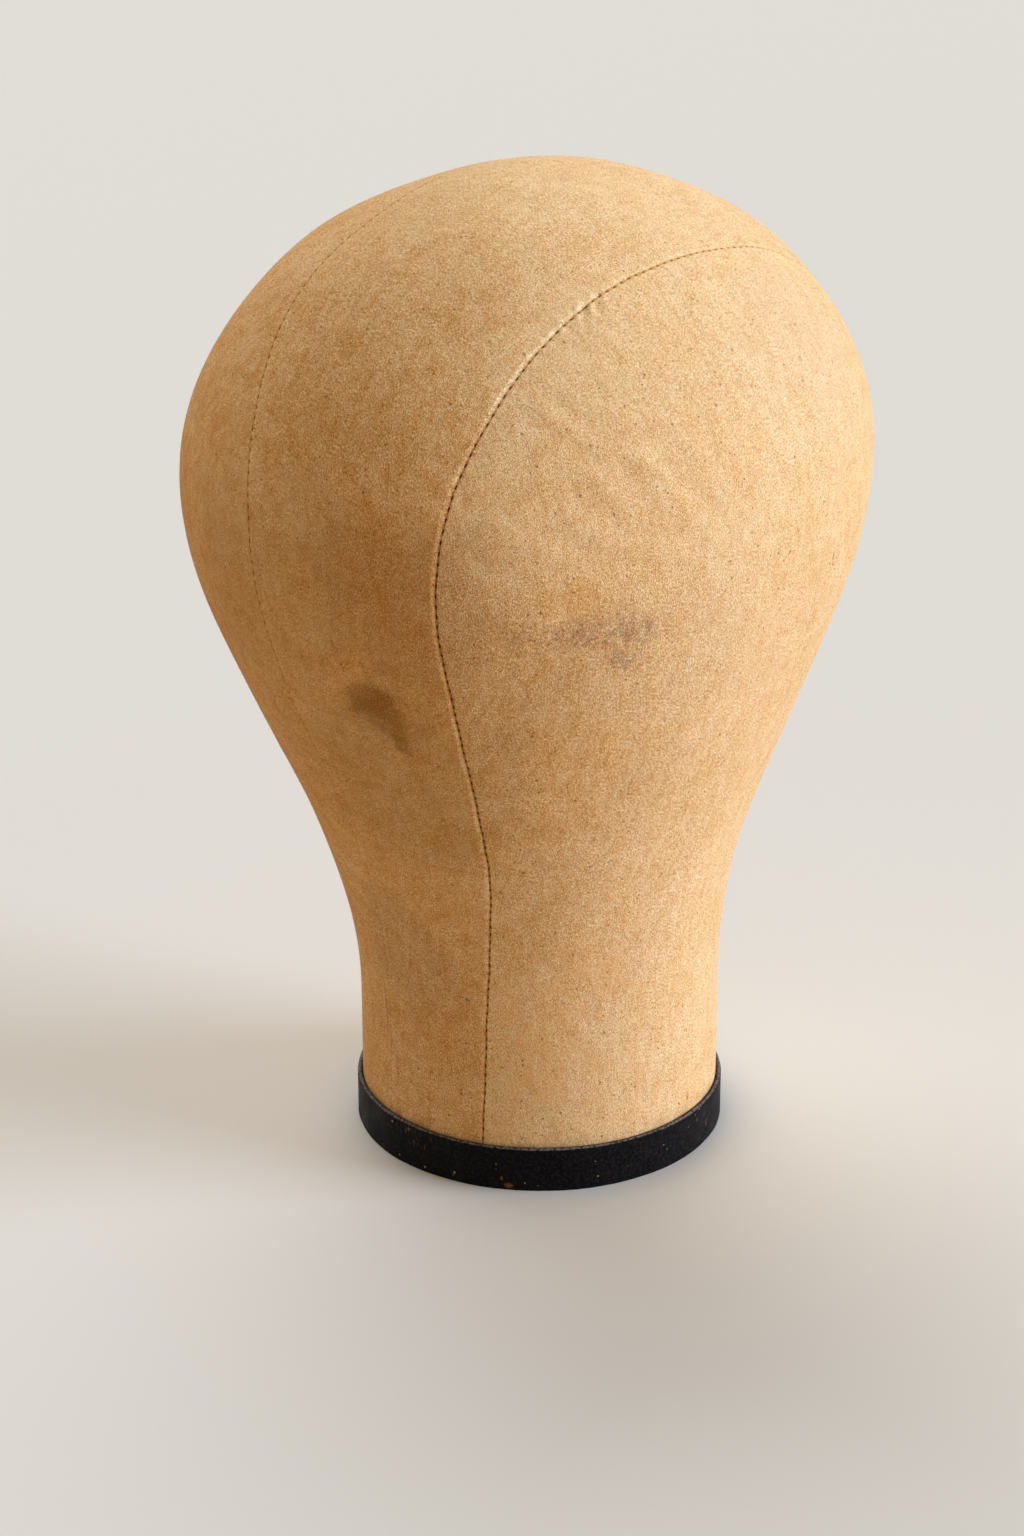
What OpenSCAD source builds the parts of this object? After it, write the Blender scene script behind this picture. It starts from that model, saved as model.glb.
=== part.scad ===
// Canvas-covered wig block: a stuffed head form on a black rim, sewn from three panels.
// The front faces -Y and the floor is at z = 0. All lengths are in mm.

/* [Head form] */
// half of the head's width at its widest level
head_half_w = 81; // [72:0.5:95]
// half of the head's length, front to back, at the same level
head_half_l = 96.5; // [82:0.5:115]
// height of the widest level above the floor
widest_z = 182.5; // [165:0.5:205]
// height of the crown above the floor
crown_z = 255.5; // [230:0.5:300]
// how far the head's axis stands in front of the neck's
head_lean = 3.8; // [0:0.1:12]
// height at which the lean is complete
lean_z = 95; // [60:1:150]
// how early the cheeks draw in below the widest level
cheek_draw = 0.05; // [0:0.01:0.12]

/* [Neck] */
// outer radius of the canvas round the neck
neck_r = 47.3; // [44:0.1:56]
// height at which the straight neck ends and the form swells
neck_z = 38; // [34:0.5:60]

/* [Canvas cover] */
// thickness of the canvas
canvas_t = 1; // [0.7:0.05:1.4]
// radius of the rolled edge beside a seam
edge_r = 0.85; // [0.5:0.05:1]
// width of the seam allowance pressed open inside
seam_allowance = 8; // [5:0.5:9]
// width of the hem turned under the neck plug
hem_w = 11; // [9:0.5:12.5]
// outer radius of the bend where the hem turns under
hem_bend_r = 2; // [1.6:0.1:3]
// thickness of the sewing thread
thread_d = 0.4; // [0.25:0.05:0.5]

/* [Right seam, degrees from the middle of the front or back] */
// front of the neck, throat, chin, cheek
right_seam_front = [14.6, 16.6, 23.7, 23.7]; // [10:0.1:40]
// brow, forehead, crown, behind the crown
right_seam_crown = [22.7, 28.7, 36.4, 38]; // [10:0.1:45]
// back of the head, occiput, nape, back of the neck
right_seam_back = [32, 25, 20, 18]; // [10:0.1:40]

/* [Left seam, degrees from the middle of the front or back] */
// front of the neck, throat, chin, cheek
left_seam_front = [22.2, 21.1, 13.8, 11.1]; // [10:0.1:40]
// brow, forehead, crown, behind the crown
left_seam_crown = [12.1, 18.3, 13.6, 14.5]; // [10:0.1:45]
// back of the head, occiput, nape, back of the neck
left_seam_back = [17, 19, 19, 18]; // [10:0.1:40]

/* [Neck plug and core post] */
// height of the neck plug's top above the floor
plug_top = 32; // [22:0.5:33.5]
// radius of the core post
post_r = 22; // [18:0.25:25]
// height of the core post's top above the floor
post_top = 128; // [105:1:160]
// rounding of the core post's top edge
post_crown = 4; // [1:0.25:8]
// radius of the blind socket for the clamp peg
socket_r = 14; // [10:0.25:15]
// depth of the socket
socket_depth = 76; // [40:1:90]

/* [Rim and underside] */
// height of the rim band
rim_h = 12; // [8:0.25:18]
// thickness of the rim band
rim_t = 1.3; // [0.8:0.1:2.5]
// rounding of the rim band's top edge
rim_round = 0.5; // [0.2:0.05:0.7]
// gap of the butt joint at the back of the rim band
rim_joint = 0.4; // [0.2:0.1:1]
// thickness of the base cover
cover_t = 1.6; // [1.2:0.1:3]

/* [Tacks and nails] */
// number of hem tacks
tack_count = 12; // [8:1:12]
// radius of a tack's head
tack_head_r = 3; // [2:0.1:3.5]
// thickness of a tack's head
tack_head_t = 0.8; // [0.5:0.1:1.2]
// radius of a tack's shank
tack_shank_r = 0.6; // [0.4:0.05:0.9]
// length of a tack's shank
tack_l = 11; // [7:0.5:15]
// number of nails in the base cover
nail_count = 6; // [4:1:8]
// radius of a nail's head
nail_head_r = 2; // [1.5:0.1:2.4]
// thickness of a nail's head, sunk flush in the cover
nail_head_t = 0.7; // [0.4:0.1:0.9]
// radius of a nail's shank
nail_shank_r = 0.6; // [0.4:0.05:0.9]
// length of a nail's shank
nail_l = 12; // [8:0.5:16]

/* [Hidden] */
// room between pieces that are put together by hand
fit = 0.1;
// room round the plug for the canvas
plug_fit = 0.2;
// room between the hem and the tack heads' tips
tack_room = 0.2;

// underside of the turned hem, above the tack heads
hem_z = cover_t + tack_head_t + tack_room;
hem_r = neck_r - hem_w;
// start of the straight neck above the bend
bend_z = hem_z + hem_bend_r;
bend_c = neck_r - hem_bend_r;
plug_r = neck_r - canvas_t - plug_fit;
boss_r = hem_r - 3 * fit;
rim_r = neck_r + fit;
tack_ring_r = (hem_r + bend_c) / 2;
nail_ring_r = (post_r + boss_r) / 2;
dome_h = crown_z - widest_z;
// the thread touches both rolled edges of its seam
thread_r = thread_d / 2;
thread_depth = edge_r - sqrt(thread_r * thread_r + 2 * edge_r * thread_r);
// the folded edge of the allowance fades out over this width
allowance_fade = 0.6;

// rows of the cover: straight neck, cheeks, and a quarter of the dome, front and back alike
neck_rows = 2;
cheek_rows = 10;
dome_rows = 8;
low_rows = neck_rows + cheek_rows;
row_n = 2 * (low_rows + dome_rows);
hem_rows = 3;
// columns of the cover
centre_cols = 4;
side_cols = 8;
thread_sides = 5;

$fn = 96;

// form of the head

function part_of(value, from, to) = min(max((value - from) / (to - from), 0), 1);

// 0 at the neck and 1 at the widest level
function swell(z) =
  let (u = part_of(widest_z - z, 0, widest_z - neck_z))
  pow(cos(90 * min(u + cheek_draw * sin(180 * u), 1)), 2);

function half_w(z) = neck_r + (head_half_w - neck_r) * swell(z);
function half_l(z) = neck_r + (head_half_l - neck_r) * swell(z);
function axis_y(z) = -head_lean * pow(sin(90 * part_of(z, plug_top, lean_z)), 2);

// A place on the cover is (v, a). v runs from the front of the neck (0) by the brow (1),
// over the crown and by the back of the head (2) to the back of the neck (3).
// a is the angle across, from the middle of the front or back (0) to the side (90).
function v_height(v) = widest_z * (v < 1.5 ? v : 3 - v);
function v_turn(v) = 180 * (2 - v);
function is_dome(v) = v > 1 && v < 2;

function skin(v, a) =
  is_dome(v)
    ? [head_half_w * sin(a),
       axis_y(widest_z) + head_half_l * cos(a) * cos(v_turn(v)),
       widest_z + dome_h * cos(a) * sin(v_turn(v))]
    : let (z = v_height(v), facing = v < 1.5 ? -1 : 1)
      [half_w(z) * sin(a), axis_y(z) + facing * half_l(z) * cos(a), z];

function slope(lo, hi) = (hi - lo) / 0.2;

// outward direction, square to the cover
function outward(v, a) =
  let (p = skin(v, a), z = p.z, x = p.x, y = p.y - axis_y(z))
  let (g = is_dome(v)
    ? [x / pow(head_half_w, 2), y / pow(head_half_l, 2), (z - widest_z) / pow(dome_h, 2)]
    : let (w = half_w(z), l = half_l(z),
           dw = slope(half_w(z - 0.1), half_w(min(z + 0.1, widest_z))),
           dl = slope(half_l(z - 0.1), half_l(min(z + 0.1, widest_z))),
           dy = slope(axis_y(z - 0.1), axis_y(z + 0.1)))
      [x / (w * w), y / (l * l),
       -x * x * dw / pow(w, 3) - y * y * dl / pow(l, 3) - y * dy / (l * l)])
  g / norm(g);

// row r of the cover, as a place along v
function row_v(r) =
  r > row_n / 2 ? 3 - row_v(row_n - r)
  : r <= neck_rows ? (bend_z + (plug_top - bend_z) * max(r, 0) / neck_rows) / widest_z
  : r <= low_rows
    ? (plug_top + (widest_z - plug_top) * (r - neck_rows) / cheek_rows) / widest_z
  : 1 + 0.5 * (r - low_rows) / dome_rows;

// number of rows past the start or end of the neck, in the turned hem
function past(r) = r < 0 ? -r : r > row_n ? r - row_n : 0;

// point of row r at angle a, this deep below the outer face of the cover
function cover_point(r, a, depth) =
  let (k = past(r), facing = r < row_n / 2 ? -1 : 1)
  k == 0 ? skin(row_v(r), a) - depth * outward(row_v(r), a)
  : let (turn = k == 1 ? 45 : 90,
         rad = k == 3 ? hem_r : bend_c + (hem_bend_r - depth) * cos(turn),
         z = bend_z - (hem_bend_r - depth) * sin(turn))
    [rad * sin(a), facing * rad * cos(a), z];

// smooth curve through seam angles that stand a quarter of v apart
function seam_value(s, i) = s[min(max(i, 0), len(s) - 1)];
function seam_at(s, v) =
  let (i = floor(v * 4), f = v * 4 - i,
       p0 = seam_value(s, i - 1), p1 = seam_value(s, i),
       p2 = seam_value(s, i + 1), p3 = seam_value(s, i + 2))
  p1 + 0.5 * f * (p2 - p0 + f * (2 * p0 - 5 * p1 + 4 * p2 - p3 + f * (3 * (p1 - p2) + p3 - p0)));

right_seam = concat(right_seam_front, right_seam_crown, right_seam_back);
left_seam = concat(left_seam_front, left_seam_crown, left_seam_back);

function row_seam(s, r) = seam_at(s, row_v(r));

// degrees of angle that a length d takes up beside the seam, on row r
function degrees_of(d, r, a) = d / norm(skin(row_v(r), a + 0.5) - skin(row_v(r), a - 0.5));

// the pressed-open allowance doubles the cloth above the plug
function fold_depth(r) = canvas_t * (r > neck_rows && r < row_n - neck_rows ? 2 : 1);

// rolled outer edge beside a seam, as [distance from the seam, depth]
rolled_edge = [[0, edge_r], [edge_r * (1 - sqrt(0.5)), edge_r * (1 - sqrt(0.5))], [edge_r, 0]];

// folded inner edge beside a seam
function folded_edge(r) =
  [[0, fold_depth(r)], [seam_allowance, fold_depth(r)],
   [seam_allowance + allowance_fade, canvas_t]];

// stations [angle, depth] beside the seam at angle a, on its far (1) or near (-1) side
function beside(edge, r, a, way) =
  [for (e = edge) [a + way * degrees_of(e[0], r, a), e[1]]];

function between(a, b, n) = [for (i = [1 : n]) a + (b - a) * i / (n + 1)];

// stations of a side panel, from its seam to the middle of the side
function side_stations(edge, r, s) =
  let (near = beside(edge, r, row_seam(s, r), 1), last = near[2])
  concat(near, [for (a = between(last[0], 90, side_cols - 1)) [a, last[1]]], [[90, last[1]]]);

// stations of the centre panel, from the left seam to the right
function centre_stations(edge, r) =
  let (l = beside(edge, r, -row_seam(left_seam, r), 1),
       q = beside(edge, r, row_seam(right_seam, r), -1))
  concat(l, [for (a = between(l[2][0], q[2][0], centre_cols)) [a, l[2][1]]],
         [q[2], q[1], q[0]]);

function row_points(stations, r, extra = 0) =
  [for (s = stations) cover_point(r, s[0], s[1] + extra)];

function reversed(list) = [for (i = [len(list) - 1 : -1 : 0]) list[i]];
function flat(lists) = [for (list = lists) each list];

// two triangles for a square of point numbers, less those that have shrunk to a line
function patch(a, b, c, d) =
  [for (t = [[a, b, c], [a, c, d]]) if (t[0] != t[1] && t[1] != t[2] && t[2] != t[0]) t];

// closed rings of n points, one after the other, with flat ends
module rings(points, n) {
  m = len(points) / n;
  walls = [for (j = [0 : m - 2], i = [0 : n - 1])
    each patch(j * n + i, j * n + (i + 1) % n, (j + 1) * n + (i + 1) % n, (j + 1) * n + i)];
  ends = [for (i = [1 : n - 2]) each [[0, i + 1, i], [(m - 1) * n, (m - 1) * n + i, (m - 1) * n + i + 1]]];
  polyhedron(points, concat(walls, ends));
}

// canvas pieces

module hem_holes() {
  for (i = [0 : tack_count - 1])
    rotate([0, 0, 90 + i * 360 / tack_count])
      translate([tack_ring_r, 0, hem_z - 1])
        cylinder(r = tack_shank_r + fit / 2, h = canvas_t + 2);
}

module centre_cloth() {
  rows = [-hem_rows : row_n + hem_rows];
  points = [for (r = rows) each concat(
    row_points(centre_stations(rolled_edge, r), r),
    reversed(row_points(centre_stations(folded_edge(r), r), r)))];
  rings(points, 2 * (centre_cols + 6));
}

module centre_panel() {
  color("tan")
    difference() {
      centre_cloth();
      hem_holes();
    }
}

// Row j of a side panel and the row as far from its other end meet in the middle of the side.
// The rows of the dome all meet in one point there.
module side_cloth(s) {
  last = row_n + 2 * hem_rows;
  cols = side_cols + 3;
  layer = (last + 1) * cols;
  function id(k, j, i) =
    k * layer + i + cols * (i < cols - 1 ? j : min(j, last - j, low_rows + hem_rows));
  points = concat(
    [for (r = [-hem_rows : row_n + hem_rows])
      each row_points(side_stations(rolled_edge, r, s), r)],
    [for (r = [-hem_rows : row_n + hem_rows])
      each row_points(side_stations(folded_edge(r), r, s), r)]);
  faces_out = [for (j = [0 : last - 1], i = [0 : cols - 2])
    each patch(id(0, j, i), id(0, j, i + 1), id(0, j + 1, i + 1), id(0, j + 1, i))];
  faces_in = [for (j = [0 : last - 1], i = [0 : cols - 2])
    each patch(id(1, j, i), id(1, j + 1, i), id(1, j + 1, i + 1), id(1, j, i + 1))];
  seam_wall = [for (j = [0 : last - 1])
    each patch(id(0, j, 0), id(0, j + 1, 0), id(1, j + 1, 0), id(1, j, 0))];
  front_hem = [for (i = [0 : cols - 2])
    each patch(id(0, 0, i + 1), id(0, 0, i), id(1, 0, i), id(1, 0, i + 1))];
  back_hem = [for (i = [0 : cols - 2])
    each patch(id(0, last, i), id(0, last, i + 1), id(1, last, i + 1), id(1, last, i))];
  polyhedron(points, concat(faces_out, faces_in, seam_wall, front_hem, back_hem));
}

module right_side_panel() {
  color("burlywood")
    difference() {
      side_cloth(right_seam);
      hem_holes();
    }
}

module left_side_panel() {
  color("burlywood")
    difference() {
      mirror([1, 0, 0]) side_cloth(left_seam);
      hem_holes();
    }
}

// thread along a seam, seated in its crease
module seam_thread(s) {
  spine = [for (r = [0 : row_n]) cover_point(r, row_seam(s, r), thread_depth)];
  points = [for (r = [0 : row_n])
    let (along = spine[min(r + 1, row_n)] - spine[max(r - 1, 0)],
         out = outward(row_v(r), row_seam(s, r)),
         side = cross(along, out) / norm(cross(along, out)),
         up = cross(side, along) / norm(along))
    for (k = [0 : thread_sides - 1])
      let (turn = 360 * k / thread_sides)
      spine[r] + thread_r * (cos(turn) * side + sin(turn) * up)];
  rings(points, thread_sides);
}

module right_seam_thread() {
  color("peru") seam_thread(right_seam);
}

module left_seam_thread() {
  color("peru") mirror([1, 0, 0]) seam_thread(left_seam);
}

// filling: it follows the inner faces of the panels down to the plug, with a hole for the post
module stuffing() {
  rows = [neck_rows : row_n - neck_rows];
  last = row_n - 2 * neck_rows;
  half = side_cols + 2;
  cols = 2 * half + centre_cols + 6;
  loop_n = 2 * (cols - 1);
  function meet(j) = min(j, last - j, cheek_rows);
  function id(j, i) = i + cols * (i == 0 || i == cols - 1 ? meet(j) : j);
  function stations(r) =
    let (edge = folded_edge(r), left = side_stations(edge, r, left_seam),
         right = side_stations(edge, r, right_seam))
    concat([for (i = [half : -1 : 1]) [-left[i][0], left[i][1]]],
           centre_stations(edge, r),
           [for (i = [1 : half]) right[i]]);
  shell = [for (r = rows) each row_points(stations(r), r, fit)];
  function loop_id(k) = let (m = k % loop_n) m < cols ? id(0, m) : id(last, loop_n - m);
  function ring(z) = [for (k = [0 : loop_n - 1])
    let (p = shell[loop_id(k)], q = [p.x, p.y] / norm([p.x, p.y]) * (post_r + fit))
    [q.x, q.y, z]];
  foot = len(shell);
  roof = foot + loop_n;
  tip = roof + loop_n;
  points = concat(shell, ring(plug_top), ring(post_top + fit), [[0, 0, post_top + fit]]);
  outside = [for (j = [0 : last - 1], i = [0 : cols - 2])
    each patch(id(j, i), id(j, i + 1), id(j + 1, i + 1), id(j + 1, i))];
  under = [for (k = [0 : loop_n - 1]) let (n = (k + 1) % loop_n)
    each patch(loop_id(k + 1), loop_id(k), foot + k, foot + n)];
  hole = [for (k = [0 : loop_n - 1]) let (n = (k + 1) % loop_n)
    each patch(foot + n, foot + k, roof + k, roof + n)];
  lid = [for (k = [0 : loop_n - 1]) [roof + (k + 1) % loop_n, roof + k, tip]];
  color("wheat") polyhedron(points, concat(outside, under, hole, lid));
}

// wood

// the post stands flush with the underside, where its socket opens
module core_post() {
  color("sienna")
    difference() {
      rotate_extrude() {
        square([post_r, post_top - post_crown]);
        square([post_r - post_crown, post_top]);
        translate([post_r - post_crown, post_top - post_crown]) circle(r = post_crown);
      }
      translate([0, 0, -1]) cylinder(r = socket_r, h = socket_depth + 1);
    }
}

// the plug's lower edge follows the bend of the canvas, and its boss stands inside the hem
module neck_plug() {
  corner = hem_bend_r - canvas_t;
  rebate_z = hem_z + canvas_t;
  bore_r = post_r + fit;
  color("sienna")
    difference() {
      rotate_extrude() {
        translate([bore_r, rebate_z + corner])
          square([plug_r - bore_r, plug_top - rebate_z - corner - fit]);
        translate([bore_r, rebate_z]) square([plug_r - corner - bore_r, plug_top - rebate_z - fit]);
        translate([plug_r - corner, rebate_z + corner]) circle(r = corner);
        translate([bore_r, cover_t]) square([boss_r - bore_r, rebate_z - cover_t]);
      }
      for (i = [0 : tack_count - 1])
        rotate([0, 0, 90 + i * 360 / tack_count])
          translate([tack_ring_r, 0, hem_z]) cylinder(r = tack_shank_r + fit / 2, h = tack_l + fit);
      for (i = [0 : nail_count - 1])
        rotate([0, 0, i * 360 / nail_count])
          translate([nail_ring_r, 0, 0])
            cylinder(r = nail_shank_r + fit / 2, h = nail_head_t + nail_l + fit);
    }
}

module hem_tacks() {
  color("dimgray")
    for (i = [0 : tack_count - 1])
      rotate([0, 0, 90 + i * 360 / tack_count])
        translate([tack_ring_r, 0, hem_z]) {
          translate([0, 0, -tack_head_t]) cylinder(r = tack_head_r, h = tack_head_t);
          cylinder(r = tack_shank_r, h = tack_l);
        }
}

// rim and underside

module rim_band() {
  gap = rim_joint / rim_r * 180 / PI;
  color([0.12, 0.12, 0.13])
    rotate([0, 0, 90 + gap / 2])
      rotate_extrude(angle = 360 - gap) {
        translate([rim_r, 0]) square([rim_t, rim_h - rim_round]);
        translate([rim_r, 0]) square([rim_t - rim_round, rim_h]);
        translate([rim_r + rim_t - rim_round, rim_h - rim_round]) circle(r = rim_round);
      }
}

module base_cover() {
  color("saddlebrown")
    difference() {
      cylinder(r = rim_r - fit, h = cover_t);
      translate([0, 0, -1]) cylinder(r = post_r + fit, h = cover_t + 2);
      for (i = [0 : nail_count - 1])
        rotate([0, 0, i * 360 / nail_count])
          translate([nail_ring_r, 0, -1]) {
            cylinder(r = nail_head_r + fit, h = 1 + nail_head_t);
            cylinder(r = nail_shank_r + fit / 2, h = cover_t + 2);
          }
    }
}

module cover_nails() {
  color("silver")
    for (i = [0 : nail_count - 1])
      rotate([0, 0, i * 360 / nail_count])
        translate([nail_ring_r, 0, 0]) {
          cylinder(r = nail_head_r, h = nail_head_t);
          cylinder(r = nail_shank_r, h = nail_head_t + nail_l);
        }
}

centre_panel();
right_side_panel();
left_side_panel();
right_seam_thread();
left_seam_thread();
stuffing();
core_post();
neck_plug();
hem_tacks();
rim_band();
base_cover();
cover_nails();
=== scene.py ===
import math

import bpy
import numpy as np
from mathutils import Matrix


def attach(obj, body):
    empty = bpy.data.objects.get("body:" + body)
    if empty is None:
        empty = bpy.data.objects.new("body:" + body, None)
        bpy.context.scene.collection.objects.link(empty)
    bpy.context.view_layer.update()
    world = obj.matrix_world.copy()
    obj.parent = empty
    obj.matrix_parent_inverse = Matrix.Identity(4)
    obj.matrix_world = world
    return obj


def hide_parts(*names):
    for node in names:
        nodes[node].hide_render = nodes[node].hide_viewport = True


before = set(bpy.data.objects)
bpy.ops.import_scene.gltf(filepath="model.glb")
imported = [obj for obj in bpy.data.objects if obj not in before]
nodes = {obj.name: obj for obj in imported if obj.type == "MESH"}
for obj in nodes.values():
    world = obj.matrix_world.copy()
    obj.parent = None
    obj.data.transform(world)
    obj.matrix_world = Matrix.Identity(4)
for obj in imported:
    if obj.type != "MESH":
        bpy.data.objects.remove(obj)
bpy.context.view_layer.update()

# Core post and neck plug.
# The post is a turned softwood dowel with a blind socket for a clamp peg. The plug is a
# disc cut across a board, bored for the post and glued round it.

MM = 0.001


def seen(red, green, blue):
    """A colour as the eye sees it, 0 to 255, as the shader's linear values."""
    c = np.array([red, green, blue]) / 255
    linear = np.where(c < 0.04045, c / 12.92, ((c + 0.055) / 1.055) ** 2.4)
    return (*linear.tolist(), 1.0)


def feed(node, sockets):
    """A node's sockets, by number, or by name with _ for a space: each takes a value, or a link
    from another node's output."""
    for key, value in sockets.items():
        socket = node.inputs[key.replace("_", " ") if isinstance(key, str) else key]
        if isinstance(value, bpy.types.NodeSocket):
            node.id_data.links.new(value, socket)
        else:
            socket.default_value = value


def place(tree, kind, sockets=None, **settings):
    """The outputs of one new shader node with its settings and sockets."""
    node = tree.nodes.new("ShaderNode" + kind)
    for name, value in settings.items():
        setattr(node, name, value)
    feed(node, sockets or {})
    return node.outputs


def join(kind, sockets, **settings):
    """The outputs of a shader node in the same tree as the outputs that are linked to it."""
    linked = [value for value in sockets.values() if isinstance(value, bpy.types.NodeSocket)]
    return place(linked[0].id_data, kind, sockets, **settings)


def reckon(operation, *values, clamp=False):
    """A Math node on values and outputs."""
    return join("Math", dict(enumerate(values)), operation=operation, use_clamp=clamp)[0]


def times(*values):
    """The product of values and outputs."""
    product = values[0]
    for value in values[1:]:
        product = reckon("MULTIPLY", product, value)
    return product


def on_vectors(operation, *values):
    """A Vector Math node on vectors. Its outputs are Vector and Value."""
    return join("VectorMath", dict(enumerate(values)), operation=operation)


def carry(value, low, high, to_low=0.0, to_high=1.0):
    """A value carried smoothly from [low, high] to [to_low, to_high] and held at the ends."""
    sockets = {0: value, 1: low, 2: high, 3: to_low, 4: to_high}
    return join("MapRange", sockets, interpolation_type="SMOOTHSTEP")[0]


def lay(share, under, over, way="MIX"):
    """The colour under, with the colour over laid on it by share."""
    return join("Mix", {0: share, 6: under, 7: over}, data_type="RGBA", blend_type=way)[2]


def coats(colour, *layers):
    """A colour with others laid on it in turn, each given by its share and its tint as seen."""
    for share, tint in layers:
        colour = lay(share, colour, seen(*tint))
    return colour


def cloud(vector, size, detail=2.0, roughness=0.5):
    """Smooth noise, 0 to 1, with lumps of about the given size in mm."""
    sockets = {"Vector": vector, "Scale": 1 / (size * MM), "Detail": detail, "Roughness": roughness}
    return join("TexNoise", sockets)[0]


def stretched(vector, scale, turn=(0.0, 0.0, 0.0)):
    """A vector scaled along its axes, and turned, so that a pattern runs one way."""
    return join("Mapping", {0: vector, 2: turn, 3: scale})[0]


def raise_by(height):
    """A normal bent by a height in metres."""
    return join("Bump", {"Strength": 1.0, "Distance": 1.0, "Height": height})[0]


def new_finish(name, **sockets):
    """A node material with one Principled shader; values here are the same all over."""
    finish = bpy.data.materials.new(name)
    finish.use_nodes = True
    shader = finish.node_tree.nodes["Principled BSDF"]
    feed(shader, sockets)
    return finish, finish.node_tree, shader


def new_group(name, inputs, outputs):
    """An empty node group with its sockets as {name: kind}, what it is given, and its end node."""
    group = bpy.data.node_groups.new(name, "ShaderNodeTree")
    for sockets, way in ((inputs, "INPUT"), (outputs, "OUTPUT")):
        for key, kind in sockets.items():
            group.interface.new_socket(key, in_out=way, socket_type="NodeSocket" + kind)
    return group, group.nodes.new("NodeGroupInput").outputs, group.nodes.new("NodeGroupOutput")


def use_group(group, **sockets):
    """A node group placed in a material, with its inputs filled."""
    return join("Group", sockets, node_tree=group)


def object_vector(tree):
    """Places in the part's own frame, in metres."""
    return place(tree, "TexCoord")["Object"]


def from_upright(vector, x=0.0, y=0.0):
    """Distance from the upright line through (x, y), in metres."""
    level = on_vectors("MULTIPLY_ADD", vector, (1.0, 1.0, 0.0), (-x, -y, 0.0))["Vector"]
    return on_vectors("LENGTH", level)["Value"]


def wear(node, finish):
    """A CAD piece takes a finish."""
    nodes[node].data.materials.clear()
    nodes[node].data.materials.append(finish)


# Growth rings are waves of distance from a pith that lies off the piece; fibres are noise
# drawn out along the grain.
pith_x, pith_y = -30 * MM, -21 * MM
ring_w = 2.6 * MM
ring_stray = 9.0
wood_grain, given, end = new_group(
    "Wood grain", {"Vector": "Vector"}, {"Ring": "Float", "Fibre": "Float"})
radius = from_upright(given["Vector"], pith_x, pith_y)
bent = cloud(given["Vector"], 50)
phase = reckon("MULTIPLY_ADD", radius, 2 * math.pi / ring_w, times(bent, ring_stray))
ring = reckon("MULTIPLY_ADD", reckon("SINE", phase), 0.5, 0.5)
drawn_out = stretched(given["Vector"], (1.0, 1.0, 0.06))
feed(end, {"Ring": reckon("POWER", ring, 2.2), "Fibre": cloud(drawn_out, 0.5, 3.0)})


def bare_wood(name, turn):
    """Unfinished softwood, with the grain turned to run along the piece."""
    finish, tree, shader = new_finish(name, Roughness=0.75)
    grain = use_group(wood_grain, Vector=stretched(object_vector(tree), (1, 1, 1), turn))
    colour = coats(seen(206, 168, 116), (grain["Ring"], (168, 120, 70)),
                   (carry(grain["Fibre"], 0.45, 0.75, 0.0, 0.35), (128, 88, 50)))
    relief = reckon("MULTIPLY_ADD", grain["Fibre"], 0.05 * MM, times(grain["Ring"], 0.03 * MM))
    feed(shader, {"Base Color": colour, "Normal": raise_by(relief)})
    return finish


wear("core_post", bare_wood("turned_softwood", (0, 0, 0)))
wear("neck_plug", bare_wood("cross_cut_softwood", (math.radians(90), 0, 0.4)))

# Stuffing.
# Loose fibre packed hard into the sewn cover until it stands by itself. It fills the form
# from the plug to the crown and closes round the post.

head_half_w = 81 * MM
head_half_l = 96.5 * MM
widest_z = 182.5 * MM
crown_z = 255.5 * MM
dome_h = crown_z - widest_z
head_lean = 3.8 * MM
lean_z = 95 * MM
cheek_draw = 0.05
neck_r = 47.3 * MM
neck_z = 38 * MM
plug_top = 32 * MM
post_r = 22 * MM
post_top = 128 * MM
canvas_t = 1.0 * MM
fit = 0.1 * MM
stuffing_rows = 150
stuffing_columns = 180


def share_of(value, low, high):
    """How far value has gone from low to high, 0 to 1."""
    return np.clip((value - low) / (high - low), 0, 1)


def half_sizes(z):
    """Half width and half length of a level: a raised cosine from the neck to the widest level."""
    u = share_of(widest_z - z, 0, widest_z - neck_z)
    swell = np.cos(np.pi / 2 * np.minimum(u + cheek_draw * np.sin(np.pi * u), 1)) ** 2
    return neck_r + (head_half_w - neck_r) * swell, neck_r + (head_half_l - neck_r) * swell


def axis_y(z):
    """The middle of a level leans forward by a squared sine of its height."""
    return -head_lean * np.sin(np.pi / 2 * share_of(z, plug_top, lean_z)) ** 2


def head_place(v, a):
    """The form at (v, a). v runs from the front of the neck (0) by the brow (1), over the crown
    and by the back of the head (2) to the back of the neck (3); a is the angle across, 0 in the
    middle and a quarter turn at the side. Below the widest level a row is half an ellipse at one
    height; above it, a row is half an ellipse of the dome, turned about the line ear to ear."""
    v, a = np.broadcast_arrays(v, a)
    z = widest_z * np.where(v < 1.5, v, 3 - v)
    w, l = half_sizes(z)
    low = np.stack([w * np.sin(a), axis_y(z) + np.where(v < 1.5, -l, l) * np.cos(a), z], -1)
    turn = np.pi * (2 - v)
    dome = np.stack([head_half_w * np.sin(a),
                     axis_y(widest_z) + head_half_l * np.cos(a) * np.cos(turn),
                     widest_z + dome_h * np.cos(a) * np.sin(turn)], -1)
    return np.where(((v > 1) & (v < 2))[..., None], dome, low)


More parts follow.
